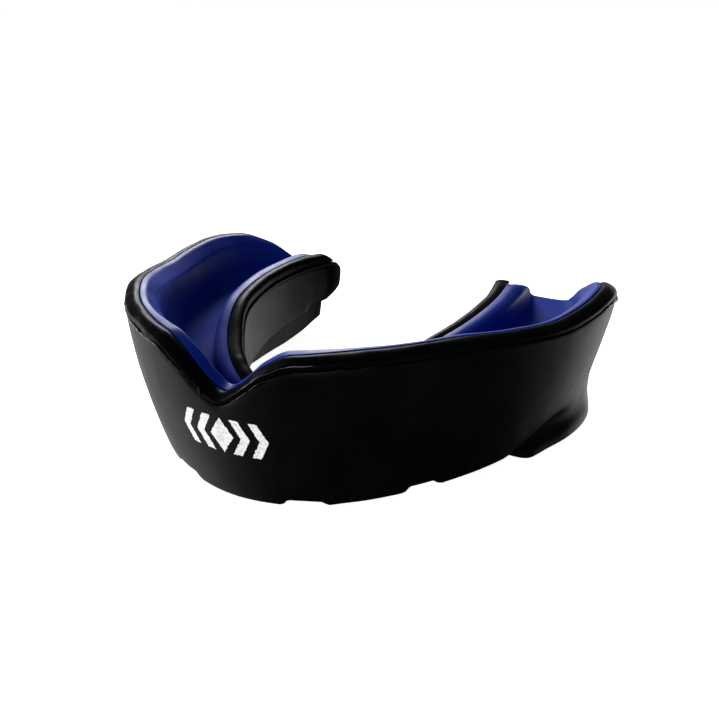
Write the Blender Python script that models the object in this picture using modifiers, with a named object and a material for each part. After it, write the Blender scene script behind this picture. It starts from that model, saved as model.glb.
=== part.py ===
"""Boil-and-bite boxing mouthguard: a black outer shell, a black shock frame and a blue gel liner.

The three layers nest in one another along the dental arch. Each is a loft of one U-shaped section, swept
from the front centre to the back of one arm and mirrored across X = 0. Lengths below are millimetres.
The arch opens towards +Y, the lips are at -Y, and the bite pads rest on Z = 0.
"""

from math import comb

import bmesh
import bpy
from mathutils import Vector

MM = 0.001
OBJECT_NAME = "mouthguard"

# Plan of the arch: Bezier points of the right half, from the front centre to the back of the arm.
BUCCAL_PLAN = ((0.0, -23.3), (21.2, -23.3), (26.6, -7.5), (39.0, 13.2), (25.1, 24.9))
LINGUAL_PLAN = ((0.0, -15.0), (12.1, -15.0), (22.5, 2.2), (15.5, 23.6))

# Tables are (share of the arm, value) rows. Heights where liner and frame meet: cheek side and tongue side.
BUCCAL_RIM = ((0.0, 13.9), (0.04, 15.6), (0.08, 18.2), (0.125, 19.9), (0.25, 20.3), (0.375, 20.2),
              (0.5, 19.0), (0.625, 18.0), (0.75, 18.0), (0.875, 17.0), (0.95, 14.8), (1.0, 11.8))
LINGUAL_RIM = ((0.0, 7.6), (0.2, 10.0), (0.39, 12.3), (0.59, 14.9), (0.79, 15.3), (0.92, 14.9),
               (0.97, 13.8), (1.0, 11.8))
CHANNEL_FLOOR = ((0.0, 5.8), (0.25, 7.4), (0.5, 9.6), (0.75, 10.8), (1.0, 11.3))

# Outer wall: how far it stands proud of the liner, how deep its rim band is, and the foot of the wall,
# which is drawn in under the band and climbs towards the back.
RIM_REACH = ((0.0, 1.9), (0.33, 2.1), (0.67, 2.0), (1.0, 2.3))
BAND_DEPTH = ((0.0, 1.5), (0.33, 1.4), (0.67, 1.4), (1.0, 2.2))
FOOT_INSET = ((0.0, 1.2), (0.125, 2.0), (0.25, 2.4), (0.5, 2.8), (0.62, 2.4), (0.8, 2.5), (1.0, 2.8))
FOOT_HEIGHT = ((0.0, 0.0), (0.1, 0.0), (0.2, 0.6), (0.33, 1.2), (0.5, 1.5), (0.56, 3.0), (0.62, 4.4),
               (0.7, 5.2), (1.0, 6.4))
LINGUAL_REACH = 2.2
LINGUAL_BAND_DEPTH = 0.9
LINGUAL_STEP = 0.4
LINGUAL_FOOT = 1.2
LINGUAL_FOOT_HEIGHT = ((0.0, 0.0), (0.1, 0.0), (0.3, 1.4), (0.5, 3.2), (0.7, 4.8), (1.0, 5.6))

# Layer thicknesses.
GAP = 0.3
LINER_BUCCAL = ((0.0, 1.7), (0.3, 2.2), (0.6, 2.5), (1.0, 2.0))
LINER_LINGUAL = ((0.0, 1.5), (0.4, 1.9), (1.0, 1.7))
LINER_FLOOR = 2.0
FRAME_FLOOR = 1.2
FRAME_LEG = 1.2
BUCCAL_LIP = 1.0
LINGUAL_LIP = 0.8
BUCCAL_LIP_DEPTH = 1.6
LINGUAL_LIP_DEPTH = 1.3

# Underside: a hollow for the lower teeth at the front, and a molar block that grows out of it behind.
PLATE = 2.0
THINNEST_PLATE = 1.1
LAND = 1.8
EDGE_ROUND = 1.2
BLOCK_GROWS = (0.47, 0.57)
EDGE_FADES = (0.62, 0.78)
BLOCK_INSET = 2.5
BLOCK_WAIST = ((0.0, 1.3), (0.62, 1.3), (0.8, 0.7), (1.0, 0.5))
BLOCK_INNER = 2.8
BLOCK_ROUND = 0.8
BLOCK_LIFT = ((0.0, 0.0), (0.88, 0.0), (0.94, 0.5), (0.98, 1.9), (1.0, 3.6))
GROOVE_DEPTH = 1.1
GROOVES = ((0.083, 0.151), (0.303, 0.361))
GROOVE_LENGTH = 26.0

# Shares of the arm at which a section is drawn; they crowd together at the front notch and at the back.
STATIONS = (0.0, 0.02, 0.04, 0.065, 0.09, 0.12, 0.16, 0.21, 0.27, 0.33, 0.4, 0.46, 0.5, 0.53, 0.56, 0.59,
            0.62, 0.67, 0.74, 0.81, 0.87, 0.91, 0.94, 0.965, 0.985, 1.0)

BLACK_RUBBER = ((0.012, 0.012, 0.013), 0.42)
BLACK_FRAME = ((0.010, 0.010, 0.011), 0.28)
BLUE_GEL = ((0.010, 0.045, 0.400), 0.45)


def bezier(points, share):
    """Point at that share of a Bezier curve, as a plan vector."""
    last = len(points) - 1
    weights = [comb(last, i) * (1 - share) ** (last - i) * share**i for i in range(last + 1)]
    return sum((w * Vector(p) for w, p in zip(weights, points)), Vector((0.0, 0.0)))


def profile(table, share):
    """Smooth value of a table, without overshoot between its rows, and level at the centre plane."""
    xs, ys = [row[0] for row in table], [row[1] for row in table]
    slopes = [(ys[i + 1] - ys[i]) / (xs[i + 1] - xs[i]) for i in range(len(xs) - 1)]
    tangents = [0.0]
    for before, after in zip(slopes, slopes[1:]):
        tangents.append(2 * before * after / (before + after) if before * after > 0 else 0.0)
    tangents.append(slopes[-1])
    i = max(k for k in range(len(slopes)) if k == 0 or xs[k] <= share)
    span = xs[i + 1] - xs[i]
    u = (share - xs[i]) / span
    ease = u * u * (3 - 2 * u)
    bend = span * (tangents[i] * u * (1 - u) ** 2 - tangents[i + 1] * u * u * (1 - u))
    return ys[i] * (1 - ease) + ys[i + 1] * ease + bend


def smoothstep(low, high, value):
    u = min(1.0, max(0.0, (value - low) / (high - low)))
    return u * u * (3 - 2 * u)


def blend(front, back, share):
    """Outline points that pass from the front list at share 0 to the back list at share 1."""
    return [(f[0] + (b[0] - f[0]) * share, f[1] + (b[1] - f[1]) * share) for f, b in zip(front, back)]


class Section:
    """The upright plane across the arch at one station, with every height and thickness it needs.

    Points in it are (across, z): across is 0 where liner and frame meet on the tongue side and
    self.width where they meet on the cheek side.
    """

    def __init__(self, share):
        self.share = share
        self.origin = bezier(LINGUAL_PLAN, share)
        outward = bezier(BUCCAL_PLAN, share) - self.origin
        self.width = outward.length
        self.outward = outward.normalized()
        self.rim = profile(BUCCAL_RIM, share)
        self.tongue_rim = profile(LINGUAL_RIM, share)
        self.floor = profile(CHANNEL_FLOOR, share)
        self.reach = profile(RIM_REACH, share)
        self.band_z = self.rim - profile(BAND_DEPTH, share)
        self.tongue_band_z = self.tongue_rim - LINGUAL_BAND_DEPTH
        self.foot_inset = profile(FOOT_INSET, share)
        self.foot_z = profile(FOOT_HEIGHT, share)
        self.tongue_foot_z = profile(LINGUAL_FOOT_HEIGHT, share)
        self.liner_under = self.floor - LINER_FLOOR
        self.frame_under = self.liner_under - GAP - FRAME_FLOOR

    def lean(self, z):
        """How far the cheek wall has moved inwards at height z, measured from its rim band."""
        drop = min(1.0, max(0.0, (self.band_z - z) / (self.band_z - self.foot_z)))
        fullness = 2.0 - 0.8 * smoothstep(0.5, 0.8, self.share)
        return -self.foot_inset * drop**fullness

    def place(self, across, z):
        plan = self.origin + self.outward * across
        return Vector((plan.x, plan.y, z)) * MM


def liner_section(s):
    """Blue liner: a trough whose rims overhang the frame as lips."""
    cheek, tongue = profile(LINER_BUCCAL, s.share), profile(LINER_LINGUAL, s.share)
    wall, tongue_wall = s.rim - s.floor, s.tongue_rim - s.floor
    crest, tongue_crest = min(1.3, 0.35 * wall), min(1.0, 0.35 * tongue_wall)
    lip, tongue_lip = s.rim - BUCCAL_LIP_DEPTH, s.tongue_rim - LINGUAL_LIP_DEPTH
    inner = s.width - cheek
    under = s.liner_under
    return [
        (s.width, s.rim),
        (s.width - 0.35 * cheek, s.rim + 0.15),
        (s.width - 0.75 * cheek, s.rim - 0.2),
        (inner, s.rim - crest),
        (inner + s.lean(s.floor + 0.5 * wall), s.floor + 0.5 * wall),
        (inner + s.lean(s.floor + 0.2 * wall) - 0.2, s.floor + 0.2 * wall),
        (inner + s.lean(s.floor) - 1.1, s.floor),
        (tongue + 0.9, s.floor),
        (tongue + 0.15, s.floor + 0.25 * tongue_wall),
        (tongue, s.tongue_rim - tongue_crest),
        (0.75 * tongue, s.tongue_rim + 0.1),
        (0.35 * tongue, s.tongue_rim + 0.3),
        (0.0, s.tongue_rim),
        (0.0, tongue_lip),
        (LINGUAL_LIP, tongue_lip),
        (LINGUAL_LIP, under + 0.3),
        (LINGUAL_LIP + 0.3, under),
        (s.width - BUCCAL_LIP + s.lean(under) - 0.3, under),
        (s.width - BUCCAL_LIP + s.lean(under + 0.3), under + 0.3),
        (s.width - BUCCAL_LIP + s.lean(lip), lip),
        (s.width, lip),
    ]


def frame_section(s):
    """Black shock frame: a thin trough under the liner, with the rim band on top of each leg."""
    lip, tongue_lip = s.rim - BUCCAL_LIP_DEPTH - GAP, s.tongue_rim - LINGUAL_LIP_DEPTH - GAP
    inner, tongue_inner = s.width - BUCCAL_LIP + GAP, LINGUAL_LIP - GAP
    outer, tongue_outer = inner + FRAME_LEG, tongue_inner - FRAME_LEG
    top, under = s.liner_under - GAP, s.frame_under
    return [
        (s.width + GAP, s.rim - 0.1),
        (s.width + GAP, lip),
        (inner + s.lean(lip), lip),
        (inner + s.lean(top + 0.4), top + 0.4),
        (inner + s.lean(top) - 0.3, top),
        (tongue_inner + 0.3, top),
        (tongue_inner, top + 0.4),
        (tongue_inner, tongue_lip),
        (-GAP, tongue_lip),
        (-GAP, s.tongue_rim - 0.1),
        (-0.45 * LINGUAL_REACH, s.tongue_rim + 0.05),
        (-0.85 * LINGUAL_REACH, s.tongue_rim - 0.25),
        (-LINGUAL_REACH, s.tongue_band_z),
        (tongue_outer, s.tongue_band_z),
        (tongue_outer, under + 0.6),
        (tongue_outer + 0.5, under),
        (outer + s.lean(under) - 0.5, under),
        (outer + s.lean(under + 0.6), under + 0.6),
        (outer + s.lean(s.band_z), s.band_z),
        (s.width + s.reach, s.band_z),
        (s.width + 0.85 * s.reach, s.rim - 0.45),
        (s.width + 0.5 * s.reach, s.rim + 0.05),
    ]


def underside(s, foot, floor):
    """Shell outline below the foot of the cheek wall, from the cheek side to the tongue side.

    At the front it climbs into the hollow for the lower teeth; behind, the same points form the block.
    """
    grown = smoothstep(*BLOCK_GROWS, s.share)
    roof = floor - max(THINNEST_PLATE, min(PLATE, floor - max(s.foot_z, s.tongue_foot_z) - 0.4))
    hollow_out = foot - EDGE_ROUND - LAND
    hollow_in = EDGE_ROUND - LINGUAL_FOOT + LAND
    block_out = s.width + s.reach - BLOCK_INSET
    low = profile(BLOCK_LIFT, s.share)
    front = [
        (hollow_out - 0.1, roof - 0.3),
        (hollow_out - 0.5, roof),
        (hollow_out - 0.9, roof),
        (hollow_out - 1.3, roof),
        (hollow_in + 1.3, roof),
        (hollow_in + 0.9, roof),
        (hollow_in + 0.5, roof),
        (hollow_in + 0.1, roof - 0.3),
    ]
    back = [
        (block_out - profile(BLOCK_WAIST, s.share), 0.5 * (s.foot_z + low)),
        (block_out, low + BLOCK_ROUND),
        (block_out - 0.3 * BLOCK_ROUND, low + 0.3 * BLOCK_ROUND),
        (block_out - BLOCK_ROUND, low),
        (BLOCK_INNER + BLOCK_ROUND, low),
        (BLOCK_INNER + 0.3 * BLOCK_ROUND, low + 0.3 * BLOCK_ROUND),
        (BLOCK_INNER, low + BLOCK_ROUND),
        (BLOCK_INNER - 0.1, 0.7 * s.tongue_foot_z + 0.3 * low),
    ]
    return blend(front, back, grown)


def shell_section(s):
    """Black outer shell: cheek wall, bite plate with its molar block, and tongue wall."""
    top, tongue_top = s.band_z - GAP, s.tongue_band_z - GAP
    floor = s.frame_under - GAP
    inner = s.width - BUCCAL_LIP + 2 * GAP + FRAME_LEG
    tongue_inner = LINGUAL_LIP - 2 * GAP - FRAME_LEG
    skin = s.width + s.reach
    foot = skin - s.foot_inset
    foot_top = s.foot_z + EDGE_ROUND
    heights = [top - (top - foot_top) * k / 5 for k in range(6)]
    tongue_face = LINGUAL_STEP - LINGUAL_REACH
    tongue_low = s.tongue_foot_z
    land = LAND * (1.0 - 0.7 * smoothstep(*BLOCK_GROWS, s.share))
    edge = [(foot - 0.35, s.foot_z + 0.35), (foot - EDGE_ROUND, s.foot_z), (foot - EDGE_ROUND - land, s.foot_z)]
    no_edge = [(foot - 0.05, s.foot_z + 0.3), (foot - 0.1, s.foot_z - 0.6), (foot - 0.15, s.foot_z - 1.4)]
    return (
        [(inner + s.lean(top), top)]
        + [(skin + s.lean(z), z) for z in heights]
        + blend(edge, no_edge, smoothstep(*EDGE_FADES, s.share))
        + underside(s, foot, floor)
        + [
            (EDGE_ROUND - LINGUAL_FOOT + land, tongue_low),
            (EDGE_ROUND - LINGUAL_FOOT, tongue_low),
            (0.35 - LINGUAL_FOOT, tongue_low + 0.35),
            (-LINGUAL_FOOT, tongue_low + EDGE_ROUND),
            (tongue_face, tongue_top - 0.5 * (tongue_top - tongue_low - EDGE_ROUND)),
            (tongue_face, tongue_top),
            (tongue_inner, tongue_top),
            (tongue_inner, floor + 0.5),
            (tongue_inner + 0.5, floor),
            (inner + s.lean(floor) - 0.5, floor),
            (inner + s.lean(floor + 0.5), floor + 0.5),
            (inner + s.lean((floor + top) / 2), (floor + top) / 2),
        ]
    )


def material(name, finish):
    colour, roughness = finish
    made = bpy.data.materials.new(name)
    made.use_nodes = True
    shader = made.node_tree.nodes["Principled BSDF"]
    shader.inputs["Base Color"].default_value = (*colour, 1.0)
    shader.inputs["Roughness"].default_value = roughness
    shader.inputs["Metallic"].default_value = 0.0
    return made


def collection(name):
    made = bpy.data.collections.new(name)
    bpy.context.scene.collection.children.link(made)
    return made


def loft_half(name, section, finish, home):
    """Lofts the right half from the centre plane to the back of the arm, caps it there and mirrors it."""
    bm = bmesh.new()
    rings = []
    for share in STATIONS:
        s = Section(share)
        rings.append([bm.verts.new(s.place(*point)) for point in section(s)])
    for near, far in zip(rings, rings[1:]):
        for i in range(len(near)):
            j = (i + 1) % len(near)
            bm.faces.new((near[i], near[j], far[j], far[i]))
    bm.faces.new(rings[-1])
    bmesh.ops.recalc_face_normals(bm, faces=bm.faces)
    mesh = bpy.data.meshes.new(name)
    bm.to_mesh(mesh)
    bm.free()
    made = bpy.data.objects.new(name, mesh)
    home.objects.link(made)
    made.data.materials.append(material(name, finish))
    mirror = made.modifiers.new("mirror", "MIRROR")
    mirror.use_axis = (True, False, False)
    mirror.merge_threshold = 0.00001
    return made


def cut_grooves(shell, cutters):
    """Air grooves across the bite plate: one slot through the underside for each pair of shares, both arms."""
    for number, (start, end) in enumerate(GROOVES):
        near, far, middle = Section(start), Section(end), Section((start + end) / 2)
        width = (far.place(far.width, 0) - near.place(near.width, 0)).length
        centre = middle.place(middle.width / 2, 0)
        height = middle.foot_z + GROOVE_DEPTH
        for side in (1, -1):
            bpy.ops.mesh.primitive_cube_add(size=1.0)
            slot = bpy.context.object
            slot.name = f"groove_cutter_{number}_{'right' if side > 0 else 'left'}"
            slot.dimensions = (GROOVE_LENGTH * MM, width, 2 * height * MM)
            bpy.ops.object.transform_apply(location=False, rotation=False, scale=True)
            slot.location = (side * centre.x, centre.y, 0.0)
            across = Vector((side * middle.outward.x, middle.outward.y, 0.0))
            slot.rotation_euler = across.to_track_quat("X", "Z").to_euler()
            slot.hide_render = True
            slot.display_type = "WIRE"
            for owner in list(slot.users_collection):
                owner.objects.unlink(slot)
            cutters.objects.link(slot)
            cut = shell.modifiers.new(slot.name, "BOOLEAN")
            cut.operation = "DIFFERENCE"
            cut.object = slot


def main():
    for old in list(bpy.data.objects):
        bpy.data.objects.remove(old)
    home, cutters = collection(OBJECT_NAME), collection("cutters")
    shell = loft_half("outer_shell", shell_section, BLACK_RUBBER, home)
    cut_grooves(shell, cutters)
    loft_half("shock_frame", frame_section, BLACK_FRAME, home)
    loft_half("gel_liner", liner_section, BLUE_GEL, home)


main()
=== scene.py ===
"""Looks of a boil-and-bite boxing mouthguard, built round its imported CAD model.

Three fine lofts stand for the three CAD solids: the black shell, the black shock frame whose bead shows
along both rims, and the blue gel liner. Lines and small tabs of moulding flash and a generic printed mark
are added. Lengths are millimetres until Section.place turns them into metres.
"""

import math
from math import comb

import bmesh
import bpy
from mathutils import Matrix, Vector, noise
from mathutils.geometry import tessellate_polygon


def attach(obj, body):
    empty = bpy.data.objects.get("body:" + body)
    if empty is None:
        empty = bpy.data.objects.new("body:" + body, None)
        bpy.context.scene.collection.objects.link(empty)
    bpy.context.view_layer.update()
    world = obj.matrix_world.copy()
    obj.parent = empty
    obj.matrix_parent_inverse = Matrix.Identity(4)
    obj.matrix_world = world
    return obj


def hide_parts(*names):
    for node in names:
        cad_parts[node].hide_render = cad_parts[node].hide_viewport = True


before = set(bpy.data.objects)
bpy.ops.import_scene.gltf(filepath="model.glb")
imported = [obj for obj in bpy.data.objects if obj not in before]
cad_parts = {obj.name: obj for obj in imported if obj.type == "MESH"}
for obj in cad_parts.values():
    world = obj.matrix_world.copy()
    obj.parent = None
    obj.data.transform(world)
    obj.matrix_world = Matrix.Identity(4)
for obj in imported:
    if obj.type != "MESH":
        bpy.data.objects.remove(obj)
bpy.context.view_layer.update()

MM = 0.001
BODY = "root"

# Plan of the arch: Bezier points of the right half, from the front centre to the back of the arm.
BUCCAL_PLAN = ((0.0, -23.3), (21.2, -23.3), (26.6, -7.5), (39.0, 13.2), (25.1, 24.9))
LINGUAL_PLAN = ((0.0, -15.0), (12.1, -15.0), (22.5, 2.2), (15.5, 23.6))
MM_PER_SHARE = 69.0

# Tables are (share of the arm, value) rows. Heights where liner and frame meet: cheek side and tongue side.
BUCCAL_RIM = ((0.0, 14.1), (0.03, 15.5), (0.068, 18.0), (0.115, 19.6), (0.25, 20.2), (0.375, 20.1),
              (0.5, 19.0), (0.625, 18.0), (0.75, 18.0), (0.875, 17.0), (0.95, 14.8), (1.0, 11.8))
LINGUAL_RIM = ((0.0, 7.6), (0.2, 10.0), (0.39, 12.1), (0.59, 14.6), (0.79, 15.1), (0.92, 15.05),
               (0.955, 14.85), (0.98, 14.3), (1.0, 13.1))
LINGUAL_BEAD = ((0.0, 7.6), (0.2, 10.0), (0.39, 12.1), (0.59, 14.6), (0.79, 15.2), (0.92, 15.1), (1.0, 14.7))
CHANNEL_FLOOR = ((0.0, 5.8), (0.25, 7.4), (0.5, 9.6), (0.75, 10.8), (1.0, 11.3))

# Outer wall: how far it stands proud of the liner, how deep its rim bead is, and where its foot lies.
RIM_REACH = ((0.0, 1.9), (0.33, 2.1), (0.67, 2.0), (1.0, 2.2))
BAND_DEPTH = ((0.0, 1.1), (0.08, 1.3), (0.33, 1.3), (0.67, 1.2), (0.85, 1.5), (1.0, 2.2))
FOOT_INSET = ((0.0, 1.2), (0.125, 2.0), (0.25, 2.4), (0.5, 2.8), (0.62, 2.4), (0.8, 2.5), (1.0, 2.8))
FOOT_HEIGHT = ((0.0, 0.0), (0.1, 0.0), (0.2, 0.6), (0.33, 1.2), (0.5, 1.5), (0.56, 3.0), (0.62, 4.4),
               (0.7, 5.2), (1.0, 6.4))
LINGUAL_REACH = ((0.0, 2.2), (0.4, 2.2), (0.6, 1.8), (0.8, 1.8), (1.0, 2.2))
LINGUAL_BAND_DEPTH = 1.5
PANEL_RECESS = 0.45
LINGUAL_FOOT = 1.2
LINGUAL_FOOT_HEIGHT = ((0.0, 0.0), (0.1, 0.0), (0.3, 1.4), (0.5, 3.2), (0.7, 4.8), (0.885, 5.7), (0.907, 6.5),
                       (1.0, 6.7))

# Layers.
SEAM = 0.04
CLEARANCE = 0.15
LINER_FLOOR = 2.0
FRAME_FLOOR = 1.2
FRAME_LEG = 1.2
BUCCAL_LIP = 1.0
LINGUAL_LIP = 0.8
BUCCAL_LIP_DEPTH = 1.6
LINGUAL_LIP_DEPTH = 1.3

# Liner rims: a raised crest near the notch, and a wide gentle shelf along the arms.
CREST_IN = ((0.0, 1.3), (0.1, 1.2), (0.25, 0.8), (0.5, 0.7), (1.0, 0.6))
CREST_UP = ((0.0, 0.2), (0.1, 0.05), (0.25, -0.05), (0.5, -0.1), (1.0, 0.0))
SHELF_IN = ((0.0, 1.8), (0.12, 2.0), (0.3, 2.2), (0.55, 2.6), (0.8, 2.2), (1.0, 1.3))
SHELF_DOWN = ((0.0, 1.4), (0.12, 1.5), (0.3, 1.5), (0.55, 1.6), (0.8, 1.5), (1.0, 0.3))
TONGUE_RIM_IN = ((0.0, 1.5), (0.4, 1.9), (0.8, 2.3), (1.0, 2.6))

# Underside.
PLATE = 2.0
THINNEST_PLATE = 1.1
LAND = 1.8
EDGE_ROUND = 1.2
BLOCK_GROWS = (0.47, 0.57)
EDGE_FADES = (0.58, 0.71)
BLOCK_INSET = ((0.0, 2.4), (0.6, 2.1), (0.68, 1.7), (0.76, 1.9), (0.86, 3.0), (1.0, 4.4))
BLOCK_WAIST = ((0.0, 1.2), (0.6, 1.2), (0.76, 0.3), (1.0, 0.2))
BLOCK_INNER = ((0.0, 2.9), (0.8, 2.9), (1.0, 3.6))
BLOCK_ROUND = 1.1
BLOCK_LIFT = ((0.0, 0.35), (0.66, 0.2), (0.74, 0.0), (0.84, 0.0), (0.92, 0.4), (1.0, 1.8))
GROOVE_DEPTH = 1.1
GROOVES = ((0.083, 0.151), (0.303, 0.361))
GROOVE_SOFT = 0.008

# Lofting.
STATIONS_PER_ARM = 150
ARC_STEPS = 5
WALL_STEPS = 22
END_ROUND = 0.4
END_STEPS = 4

# Drawing in of the arm's back end: bounds are (start, end) of a fade, across or up the section.
PULL_STARTS = 0.80
PULL_POWER = 1.5
TONGUE_SIDE = (3.0, 4.5)
CREST_FROM_Z = 11.9
CREST_PULL = 0.8
CREST_POWER = 1.2
LOW_Z = 9.0
FLANGE_PULL = 0.5
FLANGE_LOW_PULL = 0.8
FLANGE_MOST = 2.2
FLANGE_POWER = 1.6
FLANGE_FADES = (0.0, 3.2)
FLOOR_PULL = (0.05, 0.01)
FLOOR_POWER = 1.5
FLOOR_FADES = (3.0, 8.0)
PUSH_FADES = (2.0, 8.0)
PUSH_ENDS_Z = (10.5, 13.0)

# Moulding flash.
FLASH_STEPS_PER_SHARE = 520
FLASH_SIDES = 8
FLASH_END_FADE = 0.04
FLASH_THINNEST = 0.03
FLASH_FLATNESS = 0.7
FLASH_RISE = 0.12

# Printed mark, (along the wall, up) in millimetres, and the length of front wall per unit of share.
MARK_MM_PER_SHARE = 86.0
MARK_CENTRE = (0.2, 9.3)
MARK_PROUD = 0.05
MARK_HEIGHT = 4.6
MARK_LIMB = 1.15
MARK_FIRST_TIP = 3.6
MARK_TIP_STEP = 2.4
MARK_CHEVRONS = 2
MARK_DIAMOND_HALF_WIDTH = 1.5
MARK_STEPS = 14
MARK_RAGGED = 0.13

# Studio: a wide floor, a white backdrop that only the view sees, area lights as (name, place, size, power),
# a dim surround overhead, and two bright patches below the horizon, seen only in reflections:
# (direction, where it starts, where it is full, brightness).
FLOOR_SIZE = 40.0
FLOOR_Z = -0.0001
BACKDROP_RADIUS = 2.0
LIGHTS = (
    ("key_light", (-0.30, 0.36, 0.28), 0.28, 3.6),
    ("left_light", (-0.50, -0.10, 0.10), 0.30, 1.8),
    ("front_fill", (0.05, -0.55, 0.30), 0.35, 0.6),
)
LIGHTS_AIM = (0.0, 0.0, 0.01)
CEILING = 0.07
HORIZON = (-0.10, -0.02)
LOW_PATCHES = (
    ((-1.0, 0.0, 0.0), 0.35, 0.85, 1.4),
    ((0.30, 0.95, 0.0), 0.70, 0.92, 2.6),
)

# Camera, from the direction and distance of the view.
CAMERA_TARGET = (2.66, 1.03, 7.86)
CAMERA_DISTANCE = 113.7
CAMERA_AZIMUTH = 32.15
CAMERA_ELEVATION = 25.31
CAMERA_ROLL = 3.2
CAMERA_LENS = 41.85
CAMERA_SENSOR = 36.0
CAMERA_CLIP_START = 0.001


def bezier(points, share):
    """Point at that share of a Bezier curve, as a plan vector."""
    last = len(points) - 1
    weights = [comb(last, i) * (1 - share) ** (last - i) * share**i for i in range(last + 1)]
    return sum((w * Vector(p) for w, p in zip(weights, points)), Vector((0.0, 0.0)))


def profile(table, share):
    """Smooth value of a table, without overshoot between its rows, and level at the centre plane."""
    xs, ys = [row[0] for row in table], [row[1] for row in table]
    slopes = [(ys[i + 1] - ys[i]) / (xs[i + 1] - xs[i]) for i in range(len(xs) - 1)]
    tangents = [0.0]
    for before, after in zip(slopes, slopes[1:]):
        tangents.append(2 * before * after / (before + after) if before * after > 0 else 0.0)
    tangents.append(slopes[-1])
    i = max(k for k in range(len(slopes)) if k == 0 or xs[k] <= share)
    span = xs[i + 1] - xs[i]
    u = (share - xs[i]) / span
    ease = u * u * (3 - 2 * u)
    bend = span * (tangents[i] * u * (1 - u) ** 2 - tangents[i + 1] * u * u * (1 - u))
    return ys[i] * (1 - ease) + ys[i + 1] * ease + bend


def smoothstep(low, high, value):
    u = min(1.0, max(0.0, (value - low) / (high - low)))
    return u * u * (3 - 2 * u)


def mix(a, b, share):
    return a + (b - a) * share


def blend(front, back, share):
    """Corners that pass from the front list at share 0 to the back list at share 1."""
    return [tuple(mix(f, b, share) for f, b in zip(front_row[:3], back_row[:3])) + front_row[3:]
            for front_row, back_row in zip(front, back)]


class Section:
    """The upright plane across the arch at one station. Left-hand stations have a negative share.

    Points in it are (across, z): across is 0 where liner and frame meet on the tongue side and
    self.width where they meet on the cheek side.
    """

    def __init__(self, signed):
        self.side = -1.0 if signed < 0 else 1.0
        share = self.share = abs(signed)
        self.origin = bezier(LINGUAL_PLAN, share)
        outward = bezier(BUCCAL_PLAN, share) - self.origin
        self.width = outward.length
        self.outward = outward.normalized()
        self.rim = profile(BUCCAL_RIM, share)
        self.tongue_rim = profile(LINGUAL_RIM, share)
        self.floor = profile(CHANNEL_FLOOR, share)
        self.reach = profile(RIM_REACH, share)
        self.tongue_reach = profile(LINGUAL_REACH, share)
        self.band_z = self.rim - profile(BAND_DEPTH, share)
        self.tongue_bead = profile(LINGUAL_BEAD, share)
        self.tongue_band_z = self.tongue_bead - LINGUAL_BAND_DEPTH
        self.foot_inset = profile(FOOT_INSET, share)
        self.foot_z = profile(FOOT_HEIGHT, share)
        self.tongue_foot_z = profile(LINGUAL_FOOT_HEIGHT, share)
        self.liner_under = self.floor - LINER_FLOOR
        self.frame_under = self.liner_under - CLEARANCE - FRAME_FLOOR

    def lean(self, z):
        """How far the cheek wall has moved inwards at height z, measured from its rim bead."""
        drop = min(1.0, max(0.0, (self.band_z - z) / (self.band_z - self.foot_z)))
        fullness = 2.0 - 0.8 * smoothstep(0.5, 0.8, self.share)
        return -self.foot_inset * drop**fullness

    def pull(self, across, z):
        """How far forward the rounded back end of the arm draws a point in, in millimetres."""
        tongue_side = 1.0 - smoothstep(*TONGUE_SIDE, across)
        low = max(0.0, LOW_Z - z)
        crest = CREST_PULL * max(0.0, z - CREST_FROM_Z) ** CREST_POWER * tongue_side
        flange = FLANGE_PULL + min(FLANGE_MOST, FLANGE_LOW_PULL * low**FLANGE_POWER)
        pushed = 1.0 - smoothstep(*PUSH_FADES, across)
        pushed *= 1.0 - smoothstep(*PUSH_ENDS_Z, z) * tongue_side
        floor = mix(*FLOOR_PULL, smoothstep(*FLOOR_FADES, across)) * low**FLOOR_POWER - pushed
        drawn = crest + mix(flange, floor, smoothstep(*FLANGE_FADES, across))
        return drawn * smoothstep(PULL_STARTS, 1.0, self.share) ** PULL_POWER

    def place(self, across, z):
        """World point of (across, z), with the arm's back end drawn in."""
        pulled = self.pull(across, z) / MM_PER_SHARE
        if pulled != 0.0:
            share = self.share - pulled
            origin = bezier(LINGUAL_PLAN, share)
            outward = bezier(BUCCAL_PLAN, share) - origin
            part = min(1.0, max(0.0, across / self.width))
            plan = origin + outward.normalized() * (across + part * (outward.length - self.width))
        else:
            plan = self.origin + self.outward * across
        return Vector((self.side * plan.x, plan.y, z)) * MM


def rounded(corners):
    """Closed outline from (across, z, radius, pieces) corners: an arc at each, then its run in pieces."""
    points = [Vector(corner[:2]) for corner in corners]
    arcs = []
    for i, here in enumerate(points):
        back, on = points[i - 1] - here, points[(i + 1) % len(points)] - here
        radius = corners[i][2]
        start = here + back.normalized() * min(radius, 0.48 * back.length)
        stop = here + on.normalized() * min(radius, 0.48 * on.length)
        arcs.append((start, here, stop))
    outline = []
    for i, (start, here, stop) in enumerate(arcs):
        steps = ARC_STEPS if corners[i][2] > 0 else 0
        for k in range(steps + 1):
            u = k / steps if steps else 0.0
            outline.append(start * (1 - u) ** 2 + here * 2 * u * (1 - u) + stop * u * u)
        following = arcs[(i + 1) % len(arcs)][0]
        pieces = corners[i][3]
        outline.extend(stop.lerp(following, k / pieces) for k in range(1, pieces))
    return outline


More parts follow.
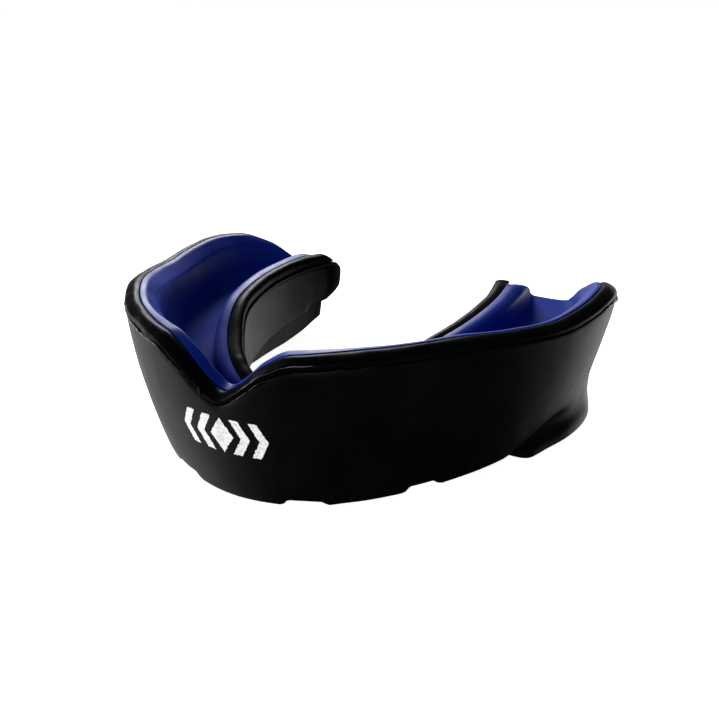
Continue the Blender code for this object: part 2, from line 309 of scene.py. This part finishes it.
def liner_outline(s):
    """Blue liner: a trough with broad soft rims, whose lips overhang the frame."""
    crest_in, crest_up = profile(CREST_IN, s.share), profile(CREST_UP, s.share)
    shelf_in, shelf_down = profile(SHELF_IN, s.share), profile(SHELF_DOWN, s.share)
    tongue_in = profile(TONGUE_RIM_IN, s.share)
    tongue_wall = s.tongue_rim - s.floor
    lip, tongue_lip = s.rim - BUCCAL_LIP_DEPTH, s.tongue_rim - LINGUAL_LIP_DEPTH
    shelf_z = max(s.rim - shelf_down, s.floor + 0.1)
    foot = s.width - shelf_in + s.lean(s.floor) - 0.3
    under = s.liner_under
    return rounded([
        (s.width, s.rim, 0.15, 2),
        (s.width - crest_in, s.rim + crest_up, 0.35, 3),
        (s.width - shelf_in, shelf_z, 0.45, 8),
        (max(foot, 3.2), s.floor, 1.3, 5),
        (tongue_in + 0.5, s.floor, 0.9, 4),
        (tongue_in, s.tongue_rim - min(0.45, 0.4 * tongue_wall), 0.6, 3),
        (0.5 * tongue_in, s.tongue_rim + 0.12, 0.6, 2),
        (0.0, s.tongue_rim, 0.15, 2),
        (0.0, tongue_lip, 0.0, 1),
        (LINGUAL_LIP, tongue_lip, 0.0, 2),
        (LINGUAL_LIP, under, 0.5, 4),
        (s.width - BUCCAL_LIP + s.lean(under), under, 0.5, 4),
        (s.width - BUCCAL_LIP + s.lean(lip), lip, 0.0, 1),
        (s.width, lip, 0.0, 1),
    ])


def frame_outline(s):
    """Black shock frame: a thin trough under the liner, with a rounded bead along each rim."""
    lip = s.rim - BUCCAL_LIP_DEPTH - CLEARANCE
    tongue_lip = s.tongue_rim - LINGUAL_LIP_DEPTH - CLEARANCE
    inner, tongue_inner = s.width - BUCCAL_LIP + CLEARANCE, LINGUAL_LIP - CLEARANCE
    outer, tongue_outer = inner + FRAME_LEG, tongue_inner - FRAME_LEG
    top, under = s.liner_under - CLEARANCE, s.frame_under
    reach, tongue_reach = s.reach + 0.06, s.tongue_reach
    return rounded([
        (s.width + SEAM, s.rim - 0.12, 0.15, 1),
        (s.width + SEAM, lip, 0.0, 1),
        (inner + s.lean(lip), lip, 0.0, 2),
        (inner + s.lean(top), top, 0.4, 4),
        (tongue_inner, top, 0.4, 2),
        (tongue_inner, tongue_lip, 0.0, 1),
        (-SEAM, tongue_lip, 0.0, 1),
        (-SEAM, s.tongue_bead - 0.1, 0.15, 2),
        (-0.55 * tongue_reach, s.tongue_bead + 0.15, 0.6, 2),
        (-tongue_reach, s.tongue_bead - 0.35, 0.7, 3),
        (-tongue_reach + 0.1, s.tongue_band_z + 0.1, 0.25, 2),
        (tongue_outer, s.tongue_band_z, 0.0, 2),
        (tongue_outer, under, 0.5, 4),
        (outer + s.lean(under), under, 0.5, 3),
        (outer + s.lean(s.band_z), s.band_z, 0.0, 2),
        (s.width + reach - 0.15, s.band_z + 0.02, 0.25, 2),
        (s.width + reach, s.band_z + 0.6, 0.5, 3),
        (s.width + 0.85 * reach, s.rim - 0.35, 0.8, 3),
        (s.width + 0.35 * reach, s.rim + 0.15, 0.6, 2),
    ])


def underside(s, foot, floor):
    """Shell corners below the foot of the cheek wall, from the cheek side to the tongue side."""
    grown = smoothstep(*BLOCK_GROWS, s.share)
    roof = floor - max(THINNEST_PLATE, min(PLATE, floor - max(s.foot_z, s.tongue_foot_z) - 0.4))
    hollow_out = foot - EDGE_ROUND - LAND
    hollow_in = EDGE_ROUND - LINGUAL_FOOT + LAND
    block_out = s.width + s.reach - profile(BLOCK_INSET, s.share)
    waist = 0.5 * (foot + block_out) - profile(BLOCK_WAIST, s.share)
    block_in = profile(BLOCK_INNER, s.share)
    low = profile(BLOCK_LIFT, s.share)
    front = [
        (hollow_out, roof, 0.4, 2),
        (hollow_out - 1.0, roof, 0.4, 2),
        (hollow_out - 1.3, roof, 0.4, 3),
        (hollow_in + 1.3, roof, 0.4, 2),
        (hollow_in + 1.0, roof, 0.4, 2),
        (hollow_in, roof, 0.4, 2),
    ]
    back = [
        (waist, 0.5 * (s.foot_z + low), 1.2, 2),
        (block_out, low + 1.2 * BLOCK_ROUND, 0.8, 2),
        (block_out, low, BLOCK_ROUND, 3),
        (block_in, low, BLOCK_ROUND, 2),
        (block_in, low + 1.2 * BLOCK_ROUND, 0.8, 2),
        (block_in - 0.1, 0.7 * s.tongue_foot_z + 0.3 * low, 0.8, 2),
    ]
    return blend(front, back, grown)


def shell_outline(s):
    """Black outer shell: cheek wall, bite plate with its molar block, and recessed tongue wall."""
    top, tongue_top = s.band_z - SEAM, s.tongue_band_z - SEAM
    floor = s.frame_under - CLEARANCE
    inner = s.width - BUCCAL_LIP + 2 * CLEARANCE + FRAME_LEG
    tongue_inner = LINGUAL_LIP - 2 * CLEARANCE - FRAME_LEG
    skin = s.width + s.reach
    foot = skin - s.foot_inset
    foot_top = s.foot_z + EDGE_ROUND
    heights = [mix(top - 0.15, foot_top, k / WALL_STEPS) for k in range(WALL_STEPS + 1)]
    recess = PANEL_RECESS * smoothstep(0.0, 1.0, (1.0 - s.share) * MM_PER_SHARE - 1.6)
    tongue_face = recess - s.tongue_reach
    tongue_low = s.tongue_foot_z
    land = LAND * (1.0 - 0.7 * smoothstep(*BLOCK_GROWS, s.share))
    faded = smoothstep(*EDGE_FADES, s.share)
    edge = [(foot, s.foot_z, EDGE_ROUND, 2), (foot - EDGE_ROUND - land, s.foot_z, 0.3, 2)]
    no_edge = [(foot - 0.1, s.foot_z - 0.6, EDGE_ROUND, 2), (foot - 0.15, s.foot_z - 1.4, 0.3, 2)]
    outline = rounded(
        [(inner + s.lean(top), top, 0.0, 2), (skin - 0.12, top, 0.12, 1)]
        + [(skin + s.lean(z), z, 0.0, 1) for z in heights]
        + blend(edge, no_edge, faded)
        + underside(s, foot, floor)
        + [
            (EDGE_ROUND - LINGUAL_FOOT + land, tongue_low, 0.3, 2),
            (-LINGUAL_FOOT, tongue_low, EDGE_ROUND, 2),
            (0.5 * tongue_face - 0.5 * LINGUAL_FOOT, mix(tongue_low, tongue_top, 0.33), 2.5, 2),
            (tongue_face, mix(tongue_low, tongue_top, 0.66), 2.5, 4),
            (tongue_face, tongue_top - 0.75, 0.35, 1),
            (-s.tongue_reach - 0.12, tongue_top - 0.42, 0.2, 1),
            (-s.tongue_reach - 0.08, tongue_top, 0.2, 2),
            (tongue_inner, tongue_top, 0.0, 3),
            (tongue_inner, floor, 0.5, 4),
            (inner + s.lean(floor), floor, 0.5, 3),
            (inner + s.lean((floor + top) / 2), (floor + top) / 2, 0.0, 3),
        ]
    )
    for start, end in GROOVES:
        cut = smoothstep(start - GROOVE_SOFT, start + GROOVE_SOFT, s.share)
        cut *= 1.0 - smoothstep(end - GROOVE_SOFT, end + GROOVE_SOFT, s.share)
        middle = profile(FOOT_HEIGHT, (start + end) / 2)
        for point in outline:
            point.y += cut * max(0.0, middle + GROOVE_DEPTH - point.y)
    return outline


def outline_normals(outline):
    """Outward unit normals of a closed outline."""
    area = sum(a.x * b.y - b.x * a.y for a, b in zip(outline, outline[1:] + outline[:1]))
    turn = 1.0 if area > 0 else -1.0
    normals = []
    for i in range(len(outline)):
        along = outline[(i + 1) % len(outline)] - outline[i - 1]
        normals.append(Vector((along.y, -along.x)).normalized() * turn)
    return normals


def wander(point, scale, seed):
    """Smooth random value between -1 and 1, with features of that size in millimetres."""
    return noise.noise(point / (MM * scale) + Vector((seed, 2.3 * seed, -seed)))


def shell_lumps(s, across, point):
    """Gentle unevenness of the moulded wall."""
    return 0.05 * wander(point, 9.0, 3.0) + 0.02 * wander(point, 2.5, 8.0)


def frame_lumps(s, across, point):
    """Soft lumps of the pressed bead, stronger near the notch and nothing where it meets other parts."""
    outside = smoothstep(0.15, 0.9, across - s.width) + smoothstep(0.15, 0.9, -across)
    if outside <= 0.0:
        return 0.0
    near_notch = 1.0 - smoothstep(0.15, 0.5, s.share)
    amount = 0.045 + 0.10 * near_notch
    return outside * amount * (wander(point, 3.2, 5.0) + 0.5 * wander(point, 1.4, 1.0))


def liner_lumps(s, across, point):
    """Slight waviness of the gel."""
    inside = smoothstep(0.1, 0.8, across) * smoothstep(0.1, 0.8, s.width - across)
    return inside * (0.06 * wander(point, 6.0, 2.0) + 0.03 * wander(point, 2.0, 6.0))


def stations():
    """Signed shares with the inset of each, from the left end to the right: the ends are rounded over."""
    rounding = END_ROUND / MM_PER_SHARE
    rows = [((k / STATIONS_PER_ARM) * (1.0 - rounding), 0.0) for k in range(STATIONS_PER_ARM + 1)]
    for k in range(1, END_STEPS + 1):
        angle = 0.5 * math.pi * k / END_STEPS
        share = 1.0 - rounding * (1.0 - math.sin(angle))
        rows.append((share, END_ROUND * (1.0 - math.cos(angle))))
    return [(-share, inset) for share, inset in reversed(rows[1:])] + rows


def loft(name, outline_of, lumps):
    """Lofts an outline along both arms and caps the rounded ends."""
    bm = bmesh.new()
    rings = []
    for signed, inset in stations():
        s = Section(signed)
        outline = outline_of(s)
        ring = []
        for point, normal in zip(outline, outline_normals(outline)):
            bump = lumps(s, point.x, s.place(point.x, point.y))
            moved = point + normal * (bump - inset)
            ring.append(bm.verts.new(s.place(moved.x, moved.y)))
        rings.append(ring)
    for near, far in zip(rings, rings[1:]):
        for i in range(len(near)):
            j = (i + 1) % len(near)
            bm.faces.new((near[i], near[j], far[j], far[i]))
    cap = tessellate_polygon([[point.to_3d() for point in outline]])
    for ring in (rings[0], rings[-1]):
        for corners in cap:
            bm.faces.new([ring[i] for i in corners])
    bmesh.ops.recalc_face_normals(bm, faces=bm.faces)
    return to_object(name, bm)


def to_object(name, bm):
    mesh = bpy.data.meshes.new(name)
    bm.to_mesh(mesh)
    bm.free()
    mesh.shade_smooth()
    made = bpy.data.objects.new(name, mesh)
    bpy.context.scene.collection.objects.link(made)
    return made


def wall_point(signed, z, proud=0.0):
    """Point on the outer face of the cheek wall."""
    s = Section(signed)
    return s.place(s.width + s.reach + s.lean(z) + proud, z)


def flash_line(name, first, last, thickest, lift):
    """Ragged ridge of moulding flash near the seam between bead and wall, between two signed shares."""
    bm = bmesh.new()
    rings = []
    steps = int(abs(last - first) * FLASH_STEPS_PER_SHARE)
    for k in range(steps + 1):
        signed = mix(first, last, k / steps)
        s = Section(signed)
        seam = s.place(s.width + s.reach, s.band_z)
        ragged = 0.5 + 0.5 * wander(seam, 0.7, 4.0) + 0.35 * wander(seam, 2.6, 9.0)
        fade = smoothstep(0, FLASH_END_FADE, k / steps) * smoothstep(0, FLASH_END_FADE, 1 - k / steps)
        radius = (FLASH_THINNEST + thickest * max(0.0, ragged) ** 1.5) * fade
        rise = FLASH_RISE * wander(seam, 1.1, 12.0)
        ring = []
        for i in range(FLASH_SIDES):
            angle = 2 * math.pi * i / FLASH_SIDES
            across = s.width + s.reach + radius * math.cos(angle)
            z = s.band_z + lift + rise + FLASH_FLATNESS * radius * math.sin(angle)
            ring.append(bm.verts.new(s.place(across, z)))
        rings.append(ring)
    for near, far in zip(rings, rings[1:]):
        for i in range(FLASH_SIDES):
            j = (i + 1) % FLASH_SIDES
            bm.faces.new((near[i], near[j], far[j], far[i]))
    bm.faces.new(rings[0])
    bm.faces.new(rings[-1])
    bmesh.ops.recalc_face_normals(bm, faces=bm.faces)
    return to_object(name, bm)


def flash_tab(name, signed, drop, size, seed):
    """Small torn tab of flash on the seam: a flattened lump with uneven edges."""
    bm = bmesh.new()
    bmesh.ops.create_icosphere(bm, subdivisions=3, radius=1.0)
    s = Section(signed)
    centre = s.place(s.width + s.reach + 0.05, s.band_z - drop)
    outward = (s.place(s.width + 1.0, 0.0) - s.place(s.width, 0.0)).normalized()
    along = outward.cross(Vector((0.0, 0.0, 1.0)))
    for vert in bm.verts:
        shape = vert.co * (1.0 + 0.35 * noise.noise(vert.co * 1.7 + Vector((seed, 0.0, 0.0))))
        vert.co = centre + MM * (outward * shape.x * size[0] + along * shape.y * size[1]
                                 + Vector((0.0, 0.0, 1.0)) * shape.z * size[2])
    return to_object(name, bm)


def chevron(tip, direction):
    """Two four-cornered limbs that meet at the tip and open away from the direction they point in."""
    half = MARK_HEIGHT / 2
    limb = MARK_LIMB * direction
    end = tip - 0.55 * half * direction
    return [
        [(tip, 0.0), (end, sign * half), (end - limb, sign * half), (tip - limb, 0.0)]
        for sign in (1, -1)
    ]


def diamond(half_width, half_height):
    """One four-cornered patch about the mark's centre."""
    return [[(-half_width, 0.0), (0.0, half_height), (half_width, 0.0), (0.0, -half_height)]]


def print_mark(name):
    """Generic pad-printed mark on the front wall: chevrons either side of a diamond, with rough edges."""
    patches = diamond(MARK_DIAMOND_HALF_WIDTH, 0.5 * MARK_HEIGHT)
    for number in range(MARK_CHEVRONS):
        tip = MARK_FIRST_TIP + MARK_TIP_STEP * number
        patches += chevron(tip, 1)
        patches += chevron(-tip, -1)
    bm = bmesh.new()
    steps = MARK_STEPS
    for corners in patches:
        a, b, c, d = (Vector(corner) for corner in corners)
        grid = []
        for i in range(steps + 1):
            row = []
            for j in range(steps + 1):
                u, v = i / steps, j / steps
                point = a.lerp(b, u).lerp(d.lerp(c, u), v)
                edge = 1.0 if i in (0, steps) or j in (0, steps) else 0.3
                rough = Vector((noise.noise(Vector((point.x * 4, point.y * 4, 1.0))),
                                noise.noise(Vector((point.x * 4, point.y * 4, 7.0)))))
                point += rough * MARK_RAGGED * edge
                signed = (MARK_CENTRE[0] + point.x) / MARK_MM_PER_SHARE
                row.append(bm.verts.new(wall_point(signed, MARK_CENTRE[1] + point.y, MARK_PROUD)))
            grid.append(row)
        for i in range(steps):
            for j in range(steps):
                bm.faces.new((grid[i][j], grid[i + 1][j], grid[i + 1][j + 1], grid[i][j + 1]))
    bmesh.ops.remove_doubles(bm, verts=bm.verts, dist=0.02 * MM)
    bmesh.ops.recalc_face_normals(bm, faces=bm.faces)
    return to_object(name, bm)


def new_material(name):
    made = bpy.data.materials.new(name)
    made.use_nodes = True
    return made, made.node_tree.nodes, made.node_tree.links, made.node_tree.nodes["Principled BSDF"]


def noise_node(nodes, links, coordinates, scale, detail):
    """Noise texture over object coordinates, with its scale per metre."""
    texture = nodes.new("ShaderNodeTexNoise")
    texture.inputs["Scale"].default_value = scale
    texture.inputs["Detail"].default_value = detail
    links.new(coordinates.outputs["Object"], texture.inputs["Vector"])
    return texture


def range_node(nodes, links, source, low, high, new_low, new_high):
    """Maps a value from one range to another, clamped."""
    mapped = nodes.new("ShaderNodeMapRange")
    mapped.inputs["From Min"].default_value = low
    mapped.inputs["From Max"].default_value = high
    mapped.inputs["To Min"].default_value = new_low
    mapped.inputs["To Max"].default_value = new_high
    links.new(source, mapped.inputs["Value"])
    return mapped.outputs["Result"]


def mix_colour(nodes, links, factor, first, second):
    """Mixes two colours, each a tuple or a socket, by a factor socket."""
    mixed = nodes.new("ShaderNodeMix")
    mixed.data_type = "RGBA"
    links.new(factor, mixed.inputs["Factor"])
    for name, colour in (("A", first), ("B", second)):
        socket = [i for i in mixed.inputs if i.name == name and i.type == "RGBA"][0]
        if isinstance(colour, tuple):
            socket.default_value = (*colour, 1.0)
        else:
            links.new(colour, socket)
    return [o for o in mixed.outputs if o.type == "RGBA"][0]


def add_bump(nodes, links, shader, heights):
    """Chains bumps, each (height socket, distance in metres, strength)."""
    normal = None
    for height, distance, strength in heights:
        bump = nodes.new("ShaderNodeBump")
        bump.inputs["Distance"].default_value = distance
        bump.inputs["Strength"].default_value = strength
        links.new(height, bump.inputs["Height"])
        if normal:
            links.new(normal, bump.inputs["Normal"])
        normal = bump.outputs["Normal"]
    links.new(normal, shader.inputs["Normal"])


def specks(nodes, links, coordinates, scale, radius, share):
    """Sparse round specks: 1 inside a speck, 0 elsewhere."""
    cells = nodes.new("ShaderNodeTexVoronoi")
    cells.inputs["Scale"].default_value = scale
    links.new(coordinates.outputs["Object"], cells.inputs["Vector"])
    near = range_node(nodes, links, cells.outputs["Distance"], radius, 0.6 * radius, 0.0, 1.0)
    parts = nodes.new("ShaderNodeSeparateColor")
    links.new(cells.outputs["Color"], parts.inputs["Color"])
    chosen = range_node(nodes, links, parts.outputs["Red"], share, share * 0.98, 0.0, 1.0)
    both = nodes.new("ShaderNodeMath")
    both.operation = "MULTIPLY"
    links.new(near, both.inputs[0])
    links.new(chosen, both.inputs[1])
    return both.outputs["Value"]


def black_rubber(name, roughness, unevenness, specular, grain):
    """Moulded black rubber: fine grain, uneven gloss and a few specks of dust."""
    made, nodes, links, shader = new_material(name)
    where = nodes.new("ShaderNodeTexCoord")
    cloud = noise_node(nodes, links, where, 160.0, 4.0)
    scuff = noise_node(nodes, links, where, 420.0, 5.0)
    fine = noise_node(nodes, links, where, 5200.0, 2.0)
    dust = specks(nodes, links, where, 420.0, 0.045, 0.12)
    tone = mix_colour(nodes, links, range_node(nodes, links, cloud.outputs["Fac"], 0.35, 0.7, 0.0, 1.0),
                      (0.0009, 0.0011, 0.0012), (0.0022, 0.0026, 0.0027))
    tone = mix_colour(nodes, links, dust, tone, (0.22, 0.22, 0.22))
    links.new(tone, shader.inputs["Base Color"])
    lowest, highest = roughness - unevenness, roughness + unevenness
    gloss = range_node(nodes, links, scuff.outputs["Fac"], 0.35, 0.75, lowest, highest)
    links.new(gloss, shader.inputs["Roughness"])
    shader.inputs["Specular IOR Level"].default_value = specular
    add_bump(nodes, links, shader, [
        (cloud.outputs["Fac"], 0.0003, 0.25),
        (fine.outputs["Fac"], 0.00004, grain),
    ])
    return made


def blue_gel(name):
    """Royal blue thermoplastic gel: satin and fine grained, duller low in the channel, where painted shade
    also darkens its colour.
    """
    made, nodes, links, shader = new_material(name)
    where = nodes.new("ShaderNodeTexCoord")
    cloud = noise_node(nodes, links, where, 210.0, 4.0)
    fine = noise_node(nodes, links, where, 3800.0, 3.0)
    tone = mix_colour(nodes, links, range_node(nodes, links, cloud.outputs["Fac"], 0.3, 0.7, 0.0, 1.0),
                      (0.0004, 0.0180, 0.235), (0.0010, 0.0270, 0.300))
    parts = nodes.new("ShaderNodeSeparateXYZ")
    links.new(where.outputs["Object"], parts.inputs["Vector"])
    # Painted shade: the colour darkens towards the channel floor, fully below 7 mm up, fading out by 10.5 mm.
    painted_channel_shade = range_node(nodes, links, parts.outputs["Z"], 0.0070, 0.0105, 1.0, 0.0)
    tone = mix_colour(nodes, links, painted_channel_shade, tone, (0.0002, 0.0060, 0.110))
    links.new(tone, shader.inputs["Base Color"])
    gloss = range_node(nodes, links, cloud.outputs["Fac"], 0.3, 0.7, 0.38, 0.5)
    matt = nodes.new("ShaderNodeMath")
    matt.operation = "ADD"
    links.new(gloss, matt.inputs[0])
    links.new(range_node(nodes, links, parts.outputs["Z"], 0.0115, 0.0145, 0.35, 0.0), matt.inputs[1])
    links.new(matt.outputs["Value"], shader.inputs["Roughness"])
    shader.inputs["Specular IOR Level"].default_value = 0.10
    add_bump(nodes, links, shader, [
        (cloud.outputs["Fac"], 0.0002, 0.25),
        (fine.outputs["Fac"], 0.00003, 0.35),
    ])
    return made


def white_ink(name):
    """Matt white ink, slightly thin in places."""
    made, nodes, links, shader = new_material(name)
    where = nodes.new("ShaderNodeTexCoord")
    cloud = noise_node(nodes, links, where, 2600.0, 4.0)
    tone = mix_colour(nodes, links, range_node(nodes, links, cloud.outputs["Fac"], 0.35, 0.6, 0.0, 1.0),
                      (0.72, 0.73, 0.74), (1.0, 1.0, 1.0))
    links.new(tone, shader.inputs["Base Color"])
    shader.inputs["Roughness"].default_value = 0.6
    add_bump(nodes, links, shader, [(cloud.outputs["Fac"], 0.00008, 0.5)])
    return made


def pale_floor(name):
    made, nodes, links, shader = new_material(name)
    where = nodes.new("ShaderNodeTexCoord")
    cloud = noise_node(nodes, links, where, 3.0, 2.0)
    tone = mix_colour(nodes, links, cloud.outputs["Fac"], (0.93, 0.93, 0.93), (0.96, 0.96, 0.96))
    links.new(tone, shader.inputs["Base Color"])
    shader.inputs["Roughness"].default_value = 0.9
    shader.inputs["Specular IOR Level"].default_value = 0.1
    links.new(tone, shader.inputs["Emission Color"])
    shader.inputs["Emission Strength"].default_value = 1.0
    return made


def finish_piece(piece, material, slot, *nodes):
    """Gives a piece its material and body, and hides the CAD nodes it stands for."""
    piece.data.materials.clear()
    piece.data.materials.append(material)
    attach(piece, BODY)
    if nodes:
        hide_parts(*nodes)


def build_object():
    shell_finish = black_rubber("shell_rubber_satin", 0.48, 0.02, 0.13, 0.35)
    frame_finish = black_rubber("frame_rubber_gloss", 0.38, 0.08, 0.025, 0.25)
    flash_finish = black_rubber("flash_rubber_torn", 0.25, 0.05, 0.5, 0.2)
    finish_piece(loft("shell_skin", shell_outline, shell_lumps), shell_finish, "shell_rubber", "outer_shell")
    finish_piece(loft("frame_band", frame_outline, frame_lumps), frame_finish, "frame_rubber", "shock_frame")
    liner_finish = blue_gel("liner_gel_satin")
    finish_piece(loft("liner_skin", liner_outline, liner_lumps), liner_finish, "liner_gel", "gel_liner")
    for name, first, last, thickest, lift in (
        ("flash_left", -0.55, -0.02, 0.22, 0.0),
        ("flash_right", 0.02, 0.5, 0.16, 0.0),
        ("flash_notch", 0.035, 0.15, 0.12, 0.75),
        ("flash_right_back", 0.72, 0.97, 0.16, 0.0),
        ("flash_left_back", -0.97, -0.72, 0.14, 0.0),
    ):
        finish_piece(flash_line(name, first, last, thickest, lift), flash_finish, "frame_rubber")
    for name, signed, drop, size, seed in (
        ("flash_tab_left", -0.47, 0.5, (0.45, 0.3, 0.75), 1.0),
        ("flash_tab_right", 0.9, 0.5, (0.45, 0.3, 0.6), 4.0),
        ("flash_tab_notch", -0.022, -0.5, (0.14, 0.35, 0.45), 7.0),
    ):
        finish_piece(flash_tab(name, signed, drop, size, seed), frame_finish, "frame_rubber")
    finish_piece(print_mark("print_mark"), white_ink("print_ink_white"), "print_ink")


def build_floor():
    """A wide pale floor that reflections do not see."""
    bm = bmesh.new()
    bmesh.ops.create_grid(bm, x_segments=8, y_segments=8, size=FLOOR_SIZE)
    floor = to_object("floor", bm)
    floor.location.z = FLOOR_Z
    floor.visible_glossy = False
    floor.data.materials.append(pale_floor("pale_floor"))


def build_backdrop():
    """A white sphere round the scene that shows behind the object but neither lights nor shades it."""
    bm = bmesh.new()
    bmesh.ops.create_uvsphere(bm, u_segments=48, v_segments=24, radius=BACKDROP_RADIUS)
    backdrop = to_object("backdrop", bm)
    backdrop.visible_glossy = False
    backdrop.visible_diffuse = False
    backdrop.visible_shadow = False
    backdrop.data.materials.append(pale_floor("pale_backdrop"))


def build_lights():
    """A soft key light at the back left, a weaker one at the left and a faint fill in front."""
    for name, place, size, power in LIGHTS:
        data = bpy.data.lights.new(name, "AREA")
        data.shape = "DISK"
        data.size = size
        data.energy = power
        light = bpy.data.objects.new(name, data)
        light.location = place
        light.rotation_euler = (Vector(LIGHTS_AIM) - Vector(place)).to_track_quat("-Z", "Y").to_euler()
        bpy.context.scene.collection.objects.link(light)


def build_surround():
    """An evenly dim sky, and below the horizon two soft bright patches that only reflections reach."""
    world = bpy.data.worlds.new("studio")
    world.use_nodes = True
    nodes, links = world.node_tree.nodes, world.node_tree.links
    where = nodes.new("ShaderNodeTexCoord")
    parts = nodes.new("ShaderNodeSeparateXYZ")
    links.new(where.outputs["Generated"], parts.inputs["Vector"])
    below = nodes.new("ShaderNodeMath")
    below.operation = "MAXIMUM"
    for socket, (direction, start, full, brightness) in zip(below.inputs, LOW_PATCHES):
        towards = nodes.new("ShaderNodeVectorMath")
        towards.operation = "DOT_PRODUCT"
        towards.inputs[1].default_value = direction
        links.new(where.outputs["Generated"], towards.inputs[0])
        patch = range_node(nodes, links, towards.outputs["Value"], start, full, 0.0, brightness)
        links.new(patch, socket)
    above = range_node(nodes, links, parts.outputs["Z"], *HORIZON, 0.0, 1.0)
    glow = nodes.new("ShaderNodeMix")
    links.new(above, glow.inputs["Factor"])
    links.new(below.outputs["Value"], glow.inputs["A"])
    glow.inputs["B"].default_value = CEILING
    links.new(glow.outputs["Result"], nodes["Background"].inputs["Strength"])
    nodes["Background"].inputs["Color"].default_value = (1.0, 1.0, 1.0, 1.0)
    bpy.context.scene.world = world
    bpy.context.scene.view_settings.view_transform = "Standard"


def build_camera():
    """Camera at the view's direction and distance, rolled slightly about its own axis."""
    azimuth, elevation = math.radians(CAMERA_AZIMUTH), math.radians(CAMERA_ELEVATION)
    back = Vector((math.sin(azimuth) * math.cos(elevation), -math.cos(azimuth) * math.cos(elevation),
                   math.sin(elevation)))
    right = Vector((0.0, 0.0, 1.0)).cross(back).normalized()
    right = Matrix.Rotation(math.radians(-CAMERA_ROLL), 3, back) @ right
    up = back.cross(right)
    data = bpy.data.cameras.new("camera")
    data.lens = CAMERA_LENS
    data.sensor_width = CAMERA_SENSOR
    data.clip_start = CAMERA_CLIP_START
    camera = bpy.data.objects.new("camera", data)
    bpy.context.scene.collection.objects.link(camera)
    placed = Matrix((right, up, back)).transposed().to_4x4()
    placed.translation = (Vector(CAMERA_TARGET) + back * CAMERA_DISTANCE) * MM
    camera.matrix_world = placed
    bpy.context.scene.camera = camera


build_object()
build_floor()
build_backdrop()
build_lights()
build_surround()
build_camera()
